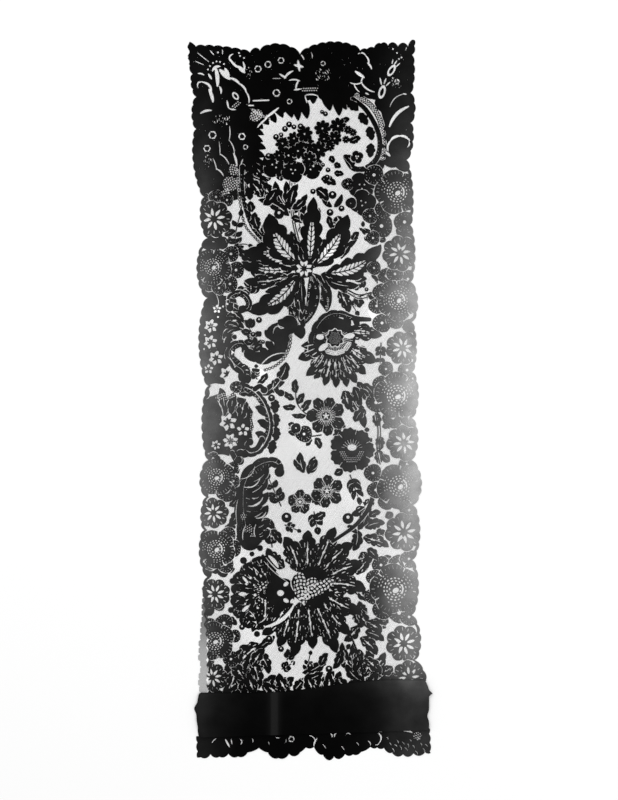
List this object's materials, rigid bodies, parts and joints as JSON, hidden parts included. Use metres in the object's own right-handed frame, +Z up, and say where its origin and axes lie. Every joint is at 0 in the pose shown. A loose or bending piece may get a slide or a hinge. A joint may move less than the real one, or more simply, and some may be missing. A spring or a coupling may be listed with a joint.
{
  "type": "lace stole",
  "caption": "Long narrow lace stole laid flat, with scalloped edges, a dense floral pattern and its spare length folded into a band near one end.",
  "frame": {"origin": "middle of the object's box on the surface that it lies on", "axes": "+Y along the stole towards its far end, away from the fold; +X across it; +Z up from the surface"},
  "size_m": [0.4911, 1.4402, 0.0058],
  "materials": {
    "lace": "matt black machine or bobbin lace",
    "fold": "matt black lace in several layers"
  },
  "bodies": {
    "root": {"lace_panel": "lace", "lace_end": "lace", "folded_band": "fold"}
  },
  "joints": []
}
